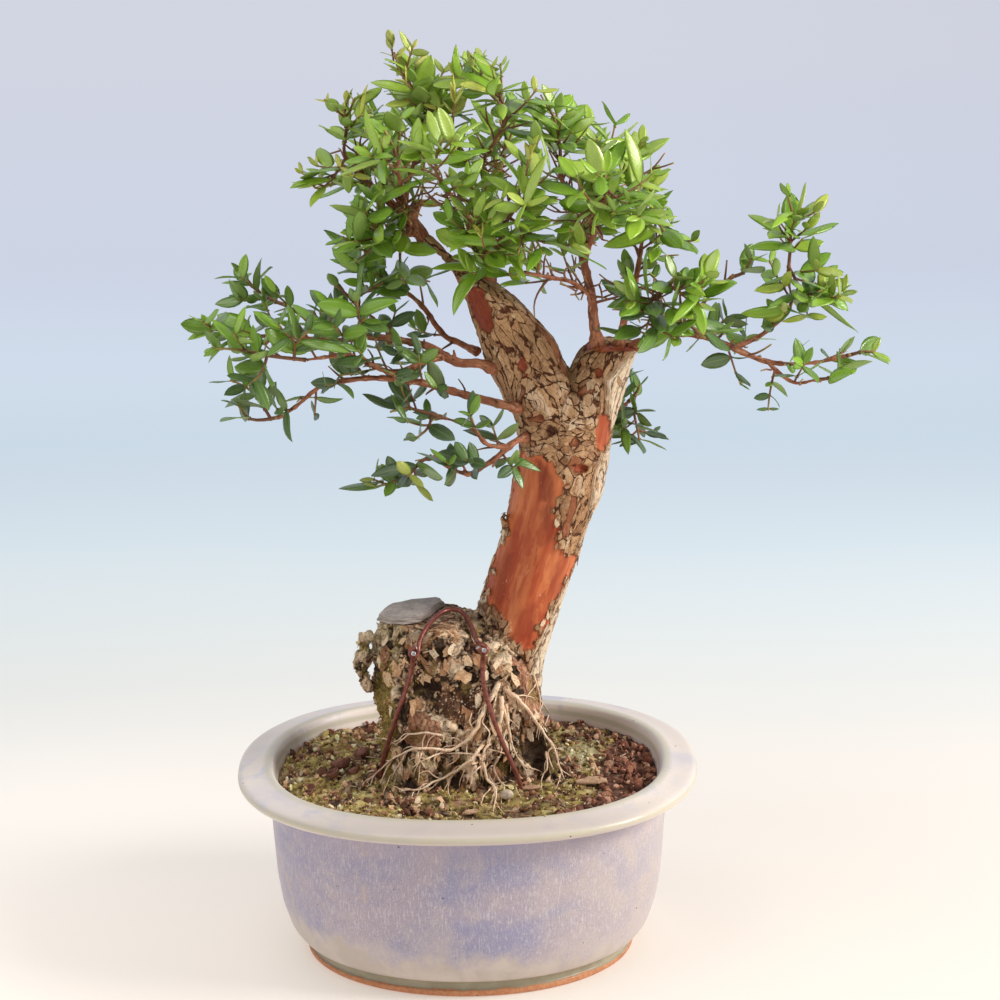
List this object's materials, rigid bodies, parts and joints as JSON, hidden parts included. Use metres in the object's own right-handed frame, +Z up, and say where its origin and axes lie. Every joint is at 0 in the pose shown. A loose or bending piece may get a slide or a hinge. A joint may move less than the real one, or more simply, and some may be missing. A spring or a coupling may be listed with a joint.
{
  "type": "potted bonsai",
  "caption": "Leaning, forked old myrtle bonsai on a broad stump, with long side branches, leafy shoots and surface roots, wired down in a nearly round glazed pot.",
  "frame": {"origin": "middle of the whole object's box, at the level of the pot's foot", "axes": "+Z up along the pot's axis, +X to the tree's right as it is shown, +Y to its back"},
  "size_m": [0.367, 0.2194, 0.4998],
  "materials": {
    "lavender_glaze": "satin",
    "black_mesh": "matte",
    "mossy_soil": "matte",
    "flaky_bark": "matte",
    "brown_twig": "matte",
    "green_leaf": "satin",
    "pale_root": "matte",
    "brown_wire": "satin",
    "grey_slate": "matte",
    "pale_stone": "matte",
    "bark_chip": "matte",
    "dry_husk": "matte"
  },
  "bodies": {
    "root": {"anchor_wire_arch": "brown_wire", "anchor_wire_left": "brown_wire", "anchor_wire_right": "brown_wire", "bark_chip": "bark_chip", "branch_back": "brown_twig", "branch_crown_right": "brown_twig", "branch_leader_left": "brown_twig", "branch_leader_mid": "brown_twig", "branch_leader_right": "brown_twig", "branch_left_long": "brown_twig", "branch_left_low": "brown_twig", "branch_left_small": "brown_twig", "branch_left_upper": "brown_twig", "branch_right": "brown_twig", "drain_screen_left": "black_mesh", "drain_screen_right": "black_mesh", "husk": "dry_husk", "pebble": "pale_stone", "pot": "lavender_glaze", "root_down": "pale_root", "root_front": "pale_root", "root_front_left": "pale_root", "root_mid_right": "pale_root", "root_right": "pale_root", "root_upper_left": "pale_root", "shoots_back": "green_leaf", "shoots_crown_back": "green_leaf", "shoots_crown_back_left": "green_leaf", "shoots_crown_back_right": "green_leaf", "shoots_crown_front_left": "green_leaf", "shoots_crown_front_low": "green_leaf", "shoots_crown_front_mid": "green_leaf", "shoots_crown_front_right": "green_leaf", "shoots_crown_left_high": "green_leaf", "shoots_crown_left_low": "green_leaf", "shoots_crown_right": "green_leaf", "shoots_crown_right_front": "green_leaf", "shoots_crown_right_high": "green_leaf", "shoots_crown_right_low": "green_leaf", "shoots_crown_tip": "green_leaf", "shoots_crown_top": "green_leaf", "shoots_crown_top_left": "green_leaf", "shoots_crown_top_right": "green_leaf", "shoots_left_front": "green_leaf", "shoots_left_low_tip": "green_leaf", "shoots_left_mid": "green_leaf", "shoots_left_small": "green_leaf", "shoots_left_tip": "green_leaf", "shoots_left_tip_high": "green_leaf", "shoots_left_top": "green_leaf", "shoots_low_tip": "green_leaf", "shoots_low_upper": "green_leaf", "shoots_right_high": "green_leaf", "shoots_right_inner": "green_leaf", "shoots_right_low": "green_leaf", "shoots_right_tip": "green_leaf", "shoots_right_top": "green_leaf", "slate": "grey_slate", "soil": "mossy_soil", "trunk": "flaky_bark"}
  },
  "joints": []
}
